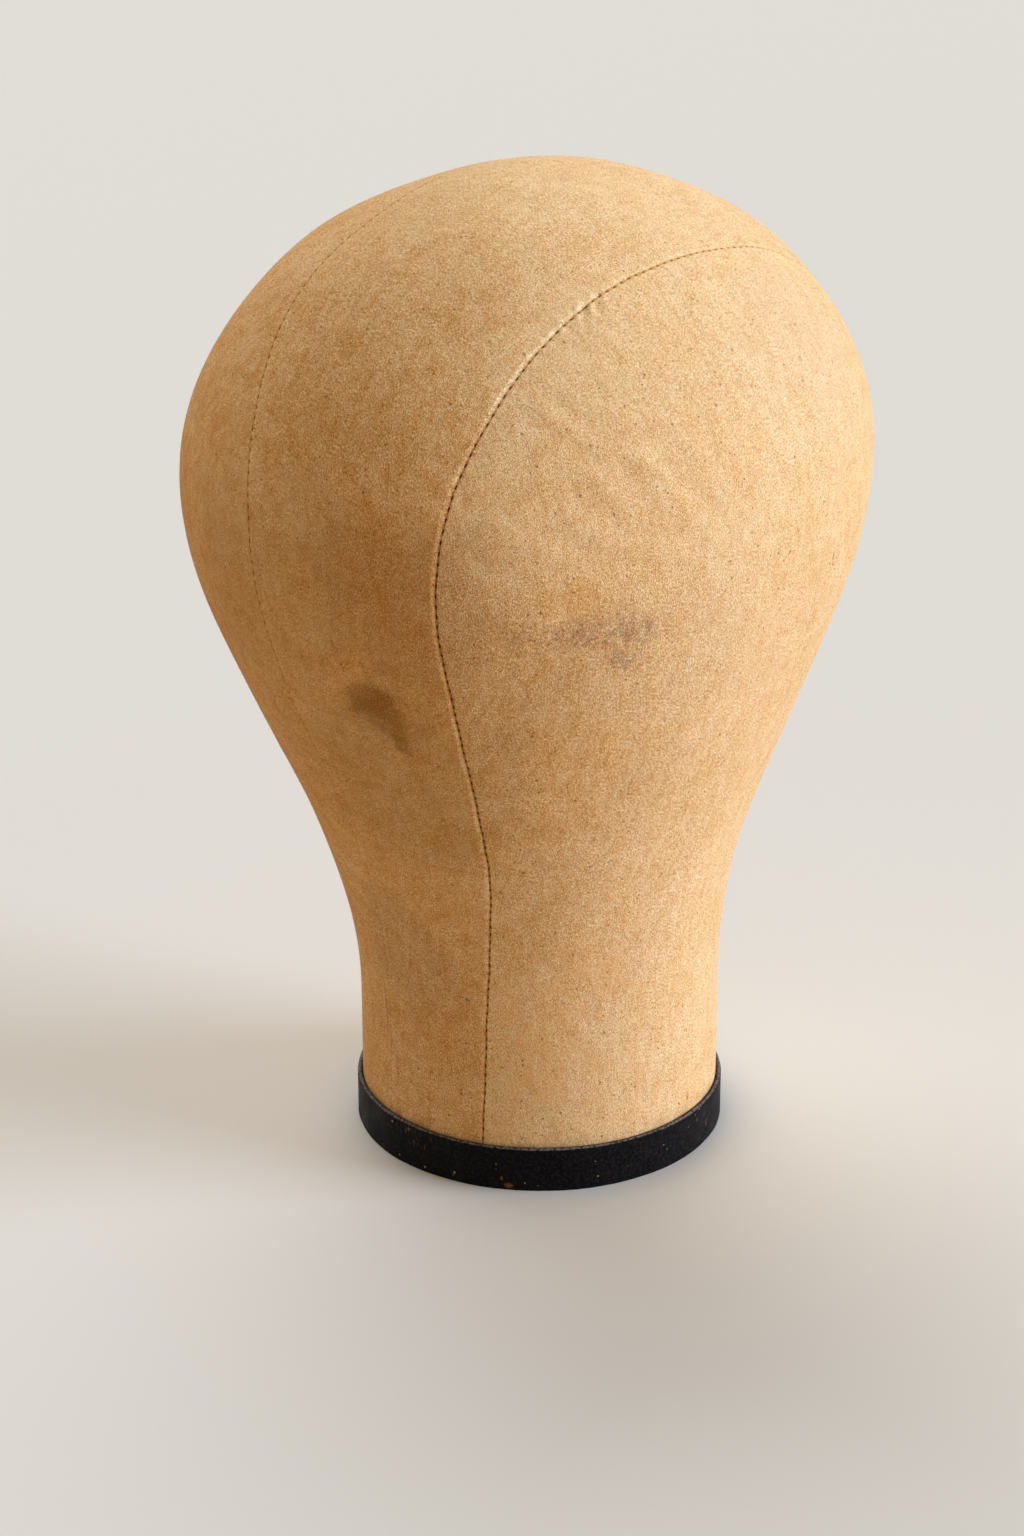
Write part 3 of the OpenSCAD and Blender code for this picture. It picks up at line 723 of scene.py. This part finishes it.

# stains and patches of painted shade and light, one over another: centre, reach, raggedness, size
# of lumps, share and colour, in mm
stains_and_painted_light = (
    # the blot on the jaw and the run below it
    ((10.9, -91.1, 148.2), (7.8, 9, 6.8), 1.2, 4, 0.58, (144, 92, 8)),
    ((12.7, -89.2, 145.1), (7.6, 9, 6.8), 1.2, 4, 0.62, (142, 90, 8)),
    ((14.0, -86.3, 140), (4.2, 8, 5.2), 1.2, 3, 0.52, (148, 94, 8)),
    ((14.9, -83.4, 134.5), (2.4, 6, 5.0), 1.2, 3, 0.66, (150, 94, 8)),
    ((15.2, -87, 143), (14, 14, 13), 1.2, 8, 0.20, (152, 106, 48)),
    # broad faint patches, darker or paler; those marked are painted shade, light and sheen
    # painted shade on the front of the face beside the right seam
    ((24, -93, 172), (30, 24, 26), 1.2, 18, 0.34, (146, 104, 58)),
    # painted shade under the jaw
    ((8, -74, 118), (40, 34, 36), 1.2, 18, 0.22, (124, 122, 86)),
    ((38, -80, 146), (20, 20, 18), 1.2, 12, 0.16, (124, 106, 70)),
    ((-8, -50, 64), (17, 20, 26), 1.2, 14, 0.20, (110, 80, 44)),
    # painted sheen, pale and grey, on the front of the face
    ((-14, -96, 164), (34, 30, 40), 1.2, 18, 0.18, (186, 184, 152)),
    ((66, -50, 160), (28, 34, 26), 1.2, 14, 0.12, (150, 110, 62)),
    ((26, -40, 42), (15, 16, 22), 2.2, 7, 0.30, (255, 192, 116)),
    ((37, -32, 64), (11, 14, 13), 2.2, 6, 0.24, (255, 192, 116)),
    # painted light, pale, high on the right side
    ((70, 9, 220), (26, 30, 30), 1.2, 14, 0.22, (243, 228, 210)),
    # the purple-grey smudge on the right side, and rusty spots round it
    ((54.6, -72.6, 166.3), (4.6, 6, 4.0), 4.2, 1.9, 0.30, (136, 82, 68)),
    ((57.8, -68.8, 167.2), (3.4, 5, 4.2), 4.2, 1.7, 0.26, (130, 84, 82)),
    ((63.0, -61.6, 165.8), (3.8, 6, 5.0), 4.2, 1.9, 0.34, (122, 78, 84)),
    ((61.4, -61.2, 158.6), (2.8, 5, 3.0), 3.6, 1.7, 0.34, (112, 72, 78)),
    ((66.4, -56.4, 165.2), (2.6, 5, 3.6), 4.2, 1.7, 0.24, (128, 84, 86)),
    ((45.2, -81.4, 166.0), (3.0, 5, 3.6), 4.2, 1.7, 0.22, (134, 90, 82)),
    ((51.2, -76.0, 165.0), (3.2, 5, 3.6), 4.2, 1.7, 0.22, (140, 88, 70)),
    ((57, -69.5, 164), (18, 18, 10), 2.0, 6, 0.14, (160, 118, 86)),
    ((56.4, -72.4, 175.4), (5, 7, 4.5), 1.2, 5, 0.36, (212, 142, 44)),
    ((50.7, -78.3, 175.2), (3, 5, 4), 1.2, 5, 0.26, (208, 142, 56)),
    ((60.0, -67.5, 162.6), (3, 5, 2), 1.2, 3, 0.24, (206, 140, 62)),
    # scratches and small marks
    ((79.3, 6.7, 168.0), (3, 0.32, 1.7), 0.6, 2, 0.75, (120, 82, 44)),
    ((80, -16.6, 175.6), (3, 0.55, 0.5), 0.6, 2, 0.70, (130, 92, 50)),
    ((9.4, -48.2, 53.0), (0.9, 2, 0.5), 0.8, 1.5, 0.75, (92, 60, 30)),
    ((7.0, -48.7, 53.6), (1.6, 2, 0.3), 0.8, 1.5, 0.55, (110, 74, 40)),
    ((30, -36, 30), (22, 22, 20), 1.3, 9, 0.04, (176, 128, 82)),
    ((-19, -43.6, 42), (0.7, 5, 13), 0.7, 4, 0.30, (150, 108, 58)),
    ((47.1, -2.2, 16.3), (3, 0.6, 1.4), 0.7, 2, 0.55, (116, 80, 42)),
    ((39.9, -54.6, 233.2), (0.45, 1, 1.0), 0.7, 1.5, 0.5, (120, 82, 40)),
    # the back and the left side
    ((-40, 85, 170), (30, 30, 24), 1.4, 16, 0.22, (182, 136, 82)),
    ((20, 90, 140), (12, 12, 9), 1.2, 7, 0.34, (146, 104, 52)),
    ((-78, 10, 150), (16, 14, 11), 1.2, 8, 0.24, (160, 118, 66)))
for centre, reach, ragged, lump, share, patch_colour in stains_and_painted_light:
    patched = ragged_patch(where, centre, reach, ragged, lump)
    laid_share = times(patched, carry(nap, 0.3, 0.68, 1.3 * share, 0.55 * share))
    colour = coats(colour, (laid_share, patch_colour))

# flecks of husk, finer motes and bright fibre ends; near the rim, dragged dirt and a handled edge
flecks = dots(where, 2.6, 0.36, 0.6)
motes = dots(where, 1.4, 0.26, 0.55)
bright = dots(stretched(where, (1, 1, 1), (0.7, 0.4, 0)), 1.7, 0.28, 0.45)
drags = dots(stretched(where, (1, 1, 0.18)), 4, 0.35, 0.5)
near_rim = carry(height, 14 * MM, 26 * MM, 0.5, 0.0)
handled = times(carry(height, 11.5 * MM, 17 * MM, 0.35, 0.0), carry(spots, 0.38, 0.62, 0.25, 0.9))
colour = coats(colour, (times(flecks, 0.62), (128, 72, 18)), (times(motes, 0.60), (146, 88, 30)),
               (times(bright, 0.42), (255, 230, 192)), (times(drags, near_rim), (120, 82, 46)),
               (handled, (164, 120, 72)))

# the seam: a thin dark crease, darkest where a stitch goes in, partly seam dirt and partly painted
# shade of the crease; soiled lips beside it, and a painted highlight on the middle panel's lip
lip_highlight_tint = (1.62, 1.94, 2.55, 1.0)
soil_tint = (1.0, 0.9, 0.68, 1.0)
from_hole = reckon("ABSOLUTE", reckon("SUBTRACT", reckon("FRACT", beat), 0.5))
hole = carry(from_hole, 0.24, 0.40)
lips = times(carry(gap, 0.34 * MM, 0.5 * MM), carry(gap, 0.65 * MM, 1.7 * MM, 1.0, 0.0))
patchy = times(carry(tufts, 0.24, 0.48), carry(hole, 0.0, 1.0, 1.0, 0.6))
# painted highlight on the middle panel's lip beside the right seam
colour = lay(times(lips, lip_highlight, patchy), colour, lip_highlight_tint, "MULTIPLY")
between = times(reckon("POWER", opened, 3.0), 0.6)
dotted = reckon("MULTIPLY_ADD", hole, reckon("SUBTRACT", 1.0, between), between)
crease = times(carry(gap, 0.14 * MM, 0.32 * MM, 1.0, 0.0), opened, dotted)
highlit_lip = carry(lip_highlight, 0.25, 0.8)
soiled = times(carry(gap, 0.30 * MM, 0.70 * MM, 0.8, 0.0),
               reckon("SUBTRACT", opened, highlit_lip, clamp=True))
colour = lay(soiled, colour, soil_tint, "MULTIPLY")
# the crease's dark colour is partly painted shade
colour = lay(crease, colour, seen(92, 34, 0))
relief = times(weave, 0.006 * MM)
for fibre, rise in ((nap, 0.09), (grit, 0.04), (tufts, 0.14), (mottle, 0.16), (spots, 0.26),
                    (flecks, -0.04)):
    relief = reckon("MULTIPLY_ADD", fibre, rise * MM, relief)
feed(shader, {"Base Color": colour, "Normal": raise_by(relief),
              "Sheen Weight": carry(crease, 0.0, 0.6, 0.09, 0.0)})

# tone along v, from the dark of the cloth (0) to its pale (1): the panels' own tones, with painted
# shade on the front of the face, at the jaw and on the left side, and painted light on the crown
# and the right side
right_seam_tone_and_light = np.interp(row_v, [0, 0.15, 0.5, 0.7, 0.95, 1.25], [1.0, 0.98, 0.72, 0.58, 0.72, 0.96])
tone_and_light_along_v = np.interp(row_v, [0, 0.3, 0.5, 0.65, 0.85, 1.0, 1.1, 1.25, 1.4, 1.5, 1.7, 3],
                         [0.62, 0.58, 0.55, 0.42, 0.30, 0.33, 0.55, 0.70, 0.90, 0.97, 0.82, 0.5])
# painted light beside the right seam at the brow
brow_painted_light = np.interp(row_v, [1.1, 1.16, 1.22, 1.3, 1.4], [0.0, 0.06, 0.26, 0.24, 0.0])
centre = centre_cloth("centre_canvas", finish, (tone_and_light_along_v + brow_painted_light, tone_and_light_along_v))
right = side_cloth("right_side_canvas", finish, right_a, right_run, right_open, 1,
                   (right_seam_tone_and_light, 0.96))
left = side_cloth("left_side_canvas", finish, left_a, left_run, left_open, -1,
                  (tone_and_light_along_v, 0.45))
for piece, node, flat, area in (
        (centre, "centre_panel", (0.075, 0.666), 0.0336),
        (right, "right_side_panel", (0.203, 0.267), 0.0391),
        (left, "left_side_panel", (0.238, 0.297), 0.0473)):
    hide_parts(node)

# Seam stitches.
# A row of lock stitches in waxed cotton holds each pair of panels together. Each stitch lies
# down in the crease and dives into the cloth at both ends.

stitch_r = 0.11 * MM
stitch_depth = 0.36 * MM
stitch_dive = 0.35 * MM
stitch_sides = 6
along_stitch = np.array([0.03, 0.12, 0.3, 0.5, 0.7, 0.88, 0.97])
stitch_taper = np.array([0.4, 0.85, 1.0, 1.0, 1.0, 0.85, 0.4])

finish, tree, shader = new_finish("waxed_thread", Roughness=0.8, Specular_IOR_Level=0.05)
twist = cloud(object_vector(tree), 0.25, 2.0)
feed(shader, {"Base Color": lay(twist, seen(96, 58, 22), seen(142, 96, 48)),
              "Normal": raise_by(times(twist, 0.08 * MM))})


def stitch_row(name, seam_a, run, opened, side, finish):
    """Short round threads laid end to end down the crease, from the rim over the crown: rings about
    a centre line that sinks by the fourth power of its distance from the stitch's middle."""
    body = (row_turn == 0)[:, 0]
    run = run[:, 0]
    count = int((run[body][-1] - run[body][0]) / stitch_pitch)
    starts = stitch_pitch * (np.ceil(run[body][0] / stitch_pitch) + np.arange(count - 1))
    at = starts[:, None] + stitch_pitch * along_stitch
    form = head_place(row_v, seam_a)
    lift = seam_lift(0, run[:, None], opened) * above_rim + packed_lumps(form * [side, 1, 1])
    edge = cover_place(seam_a, -lift)[:, 0]
    line = np.stack([np.interp(at, run, edge[:, k]) for k in range(3)], -1)
    tight = np.interp(at, run, 0.3 + 0.7 * opened[:, 0])
    out = outward_of(line)
    ahead = np.gradient(line, axis=1)
    ahead /= np.linalg.norm(ahead, axis=-1, keepdims=True)
    across = np.cross(out, ahead)
    sink = stitch_depth * tight + stitch_dive * (2 * along_stitch - 1) ** 4
    middle = line - sink[..., None] * out
    turns = 2 * np.pi * np.arange(stitch_sides) / stitch_sides
    ring = np.cos(turns)[:, None] * across[:, :, None] + np.sin(turns)[:, None] * out[:, :, None]
    points = middle[:, :, None] + (stitch_r * stitch_taper)[:, None, None] * ring
    points[..., 0] *= side
    numbers = np.arange(points[..., 0].size).reshape(points.shape[:3])
    ends = ((0, ([3, 2, 1, 0], [5, 4, 3, 0])), (-1, ([0, 1, 2, 3], [0, 3, 4, 5])))
    caps = [numbers[:, end][:, pick] for end, picks in ends for pick in picks]
    cells = np.concatenate([cells_of(closed(numbers)), *caps])
    return surface(name, points.reshape(-1, 3), cells[:, ::side], finish)


for side, seam_a, run, opened, word in (
        (1, right_a, right_run, right_open, "right"), (-1, left_a, left_run, left_open, "left")):
    stitches = stitch_row(word + "_seam_stitches", seam_a, run, opened, side, finish)
    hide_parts(word + "_seam_thread")

# Lint.
# Loose cotton fibres that stand up from the worn canvas, as fine as hair and less than two
# millimetres long.

lint_count = 5200
lint_r = 0.026 * MM

finish, tree, shader = new_finish("cotton_lint", Roughness=0.95, Specular_IOR_Level=0.1)
tint = cloud(object_vector(tree), 3)
feed(shader, {"Base Color": lay(tint, seen(200, 160, 108), seen(246, 222, 182))})

lint_random = np.random.default_rng(5)
lint_v = lint_random.uniform(0.1, 2.9, lint_count)
lint_a = np.arcsin(lint_random.uniform(-1, 1, lint_count))
root = head_place(lint_v, lint_a)
out = outward_of(root)
root = root + packed_lumps(root)[:, None] * out
lean = lint_random.normal(size=(lint_count, 3))
lean -= (lean * out).sum(-1, keepdims=True) * out
lean /= np.linalg.norm(lean, axis=1, keepdims=True)
length = lint_random.uniform(0.4, 1.7, (lint_count, 1)) * MM
rise = lint_random.uniform(0.15, 0.9, (lint_count, 1))
# a fibre's path leans over as it runs out, by squares of its share run; its section is a triangle
run = np.array([-0.06, 0.5, 1.0])
taper = np.array([1.0, 0.8, 0.3])
sideways = lean[:, None] * (run * (1 - 0.25 * run))[:, None]
upward = out[:, None] * (rise * (run * (1.3 - 0.5 * run)))[..., None]
path = root[:, None] + length[:, None] * (sideways + upward)
spread = np.cross(out, lean)
corner = np.stack([spread, out * 0.5 - spread * 0.5, -out * 0.5 - spread * 0.5], 1)
fibres = path[:, :, None] + (lint_r * taper)[:, None, None] * corner[:, None]
numbers = np.arange(fibres[..., 0].size).reshape(fibres.shape[:3])
tips = np.concatenate([numbers[:, 0][:, [2, 1, 0, 0]], numbers[:, 2][:, [0, 1, 2, 2]]])
cells = np.concatenate([cells_of(closed(numbers)), tips])
lint = surface("lint", fibres.reshape(-1, 3), cells, finish)

# Hem tacks and cover nails.
# Blued steel tacks hold the turned hem to the plug, and flat-headed nails of the same steel
# hold the base cover.

finish, tree, shader = new_finish("blued_steel", Metallic=1.0)
where = object_vector(tree)
rust = carry(cloud(where, 1.6, 4.0), 0.5, 0.7)
feed(shader, {"Base Color": lay(rust, seen(92, 94, 102), seen(108, 66, 40)),
              "Roughness": carry(cloud(where, 0.6, 3.0), 0.3, 0.7, 0.32, 0.62)})
for node in ("hem_tacks", "cover_nails"):
    wear(node, finish)

# Rim band.
# A strip of black-lacquered leatherboard, bent round the foot of the neck and glued, with its
# ends butted at the back. The lacquer is chipped to brown along the lower edge and scuffed.

rim_r = neck_r + fit
rim_t = 1.3 * MM
rim_h = 12 * MM
rim_round = 0.5 * MM
inner_round = 0.35 * MM
foot_round = 0.2 * MM
rim_joint = 0.4 * MM
rim_turns = 720
rim_rows = 14
round_steps = 9

finish, tree, shader = new_finish("black_lacquer", Specular_IOR_Level=0.06)
where = object_vector(tree)
strip = place(tree, "UVMap", uv_map="Strip")[0]
brushed = cloud(stretched(strip, (0.08, 1, 1)), 0.35, 3.0)
pebble = cloud(where, 0.8, 3.0)
dust = cloud(where, 7, 4.0)
height = join("SeparateXYZ", {0: where})["Z"]
# chips in the lacquer: strewn ones along the foot, and larger ones by centre, reach and raggedness
chips = times(dots(where, 2.2, 0.55, 0.22), carry(height, 0.9 * MM, 3.0 * MM, 1.0, 0.0))
for centre, reach, ragged in (
        ((19.3, -44.8, 1.3), (1.3, 1.4, 0.9), 1.1), ((17.6, -45.4, 3.2), (0.45, 0.5, 0.7), 0.9),
        ((-9.6, -47.7, 10.6), (0.8, 0.8, 0.5), 1.0), ((48.6, 0.8, 8.6), (0.6, 0.4, 0.6), 0.8),
        ((48.2, 6.2, 5.2), (0.6, 0.35, 1.2), 0.8), ((-30, 38.4, 1.5), (1.6, 1.4, 1.0), 1.1)):
    chips = reckon("MAXIMUM", chips, ragged_patch(where, centre, reach, ragged, 0.7))
nicks = dots(where, 2.3, 0.34, 0.5)
scuffed = ragged_patch(where, (-7, -48.2, 8.6), (7, 5, 3), 1.2, 2)
scratch = cloud(stretched(strip, (1, 0.12, 1), (0, 0, 0.25)), 0.45, 2.0)
# a painted highlight, pale grey, on the outer part of the top edge
outer_edge = times(carry(height, 11.6 * MM, 11.85 * MM),
                   carry(from_upright(where), rim_r + 0.40 * MM, rim_r + 0.75 * MM, 0.25, 1.0))
edge_highlight = times(outer_edge, carry(pebble, 0.38, 0.56, 0.15, 0.9))
# the pebbled grey is the board's grain, lightened as painted sheen
colour = coats(seen(8, 8, 11), (carry(dust, 0.4, 0.75, 0.0, 0.5), (20, 20, 24)),
               (carry(brushed, 0.55, 0.8, 0.0, 0.30), (46, 46, 50)),
               (carry(pebble, 0.42, 0.66, 0.0, 0.7), (35, 36, 42)),
               (times(chips, 0.9), (126, 84, 62)), (times(nicks, 0.80), (180, 160, 136)),
               (times(scuffed, carry(scratch, 0.60, 0.70), 0.7), (140, 122, 104)),
               (edge_highlight, (124, 123, 126)))
dull = reckon("MAXIMUM", carry(dust, 0.3, 0.7, 0.42, 0.62), times(chips, 0.85))
relief = reckon("MULTIPLY_ADD", pebble, 0.035 * MM, times(brushed, 0.03 * MM))
relief = reckon("MULTIPLY_ADD", chips, -0.12 * MM, relief)
feed(shader, {"Base Color": colour, "Roughness": dull, "Normal": raise_by(relief)})


def rounded(reach, height, r, start):
    """An edge of the strip's section: a quarter circle of radius r about (reach, height), counted
    in quarter turns from its start."""
    turn = np.pi / 2 * (start + np.linspace(0, 1, round_steps))
    return np.stack([reach + r * np.cos(turn), height + r * np.sin(turn)], -1)


# the strip's section: up the outer face, over both rounded top edges and down the inner face
outer_r = rim_r + rim_t
face_z = np.linspace(foot_round, rim_h - rim_round, rim_rows)[1:-1]
face = np.stack([np.full(rim_rows - 2, outer_r), face_z], -1)
section = np.concatenate([[[rim_r, 0]],
                          rounded(outer_r - foot_round, foot_round, foot_round, -1), face,
                          rounded(outer_r - rim_round, rim_h - rim_round, rim_round, 0),
                          rounded(rim_r + inner_round, rim_h - inner_round, inner_round, 1)])
half_gap = rim_joint / rim_r / 2
turns = np.linspace(half_gap, 2 * np.pi - half_gap, rim_turns)[:, None]
wobble = 0.05 * MM * (np.sin(5 * turns + 1) + np.sin(11 * turns + 2.1) + 0.6 * np.sin(23 * turns))
reach = section[:, 0] + wobble * share_of(section[:, 0], rim_r, outer_r)
waved = 0.08 * MM * np.sin(7 * turns + 0.6)
rise = section[:, 1] + waved * share_of(section[:, 1], 0.4 * rim_h, rim_h)
band = np.stack(np.broadcast_arrays(-reach * np.sin(turns), reach * np.cos(turns), rise), -1)
n = len(section)
half = n // 2
numbers = np.arange(rim_turns * n).reshape(rim_turns, n)
ends = [np.stack([e[:half - 1], e[1:half], e[::-1][1:half], e[::-1][:half - 1]], -1)[:, ::way]
        for e, way in ((numbers[0], -1), (numbers[-1], 1))]
cells = np.concatenate([cells_of(closed(numbers)), *ends])
strip_uv = np.stack(np.broadcast_arrays(turns * rim_r, section[:, 1]), -1)
rim = surface("rim_strip", band.reshape(-1, 3), cells, finish, Strip=strip_uv.reshape(-1, 2))
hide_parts("rim_band")

# Base cover.
# A disc of brown fibreboard that closes the underside and hides the tacked hem, rubbed pale
# where it stands on tables.

finish, tree, shader = new_finish("brown_fibreboard", Roughness=0.85)
where = object_vector(tree)
fibre = cloud(stretched(where, (1, 0.3, 1), (0, 0, 0.7)), 0.6, 4.0, 0.65)
worn = carry(cloud(where, 16, 4.0), 0.42, 0.68, 0.0, 0.6)
specks = times(dots(where, 2.0, 0.3, 0.5), 0.6)
colour = coats(seen(78, 54, 36), (fibre, (132, 98, 68)), (worn, (156, 124, 92)),
               (specks, (48, 34, 24)))
feed(shader, {"Base Color": colour, "Normal": raise_by(times(fibre, 0.08 * MM))})
wear("base_cover", finish)

# Floor and light.
# A pale seamless floor, a broad soft lamp from the right, a weak one from behind on the left,
# and an even pale surround.

floor_half = 6.0


def seen_plainly(tree):
    """1 for rays straight from the camera, by way of a mirror or through glass, and 0 for light."""
    ray = place(tree, "LightPath")
    straight = reckon("MAXIMUM", ray["Is Camera Ray"], ray["Is Glossy Ray"])
    return reckon("MAXIMUM", straight, ray["Is Transmission Ray"])


finish, tree, shader = new_finish("pale_floor", Roughness=0.9, Specular_IOR_Level=0.1)
feed(shader, {"Base Color": lay(seen_plainly(tree), seen(207, 187, 161), seen(236, 245, 255))})
corners = np.array([[-1, -1, 0], [1, -1, 0], [1, 1, 0], [-1, 1, 0]]) * floor_half
mesh = bpy.data.meshes.new("floor")
mesh.from_pydata(corners.tolist(), [], [[0, 1, 2, 3]])
mesh.materials.append(finish)
floor = stand("floor", mesh)


def soft_lamp(name, turn, rise, strength, spread, colour):
    """A far, broad lamp: it stands at this turn from the part's +X, this far above the level, and
    is as wide as spread, all in degrees."""
    lamp = bpy.data.lights.new(name, "SUN")
    lamp.energy, lamp.angle, lamp.color = strength, math.radians(spread), colour
    holder = stand(name, lamp)
    holder.rotation_euler = (math.radians(90 - rise), 0, math.radians(turn + 90))
    holder.location = (0, 0, 1)


soft_lamp("key", turn=24, rise=15.5, strength=2.28, spread=36, colour=(0.98, 1.0, 1.06))
soft_lamp("back_left", turn=140, rise=44, strength=1.5, spread=60, colour=(1.0, 0.93, 0.84))

world = bpy.data.worlds.new("surround")
bpy.context.scene.world = world
world.use_nodes = True
tree = world.node_tree
tree.nodes.clear()
plain = seen_plainly(tree)
strength = carry(plain, 0.0, 1.0, 0.355, 0.85)
colour = lay(plain, seen(255, 228, 190), seen(246, 243, 240))
join("OutputWorld", {0: join("Background", {0: colour, 1: strength})[0]})

# Camera.
# A long lens from the front right, a little above the crown.

camera_place = (0.44089, -0.69236, 0.42953)
camera_turn = 33
camera_dip = 22.02
camera = bpy.data.cameras.new("camera")
camera.lens = 80
camera.sensor_width = 36
camera.clip_start, camera.clip_end = 0.01, 50
eye = stand("camera", camera)
eye.location = camera_place
eye.rotation_euler = (math.radians(90 - camera_dip), 0, math.radians(camera_turn))
bpy.context.scene.camera = eye
bpy.context.scene.view_settings.view_transform = "Standard"
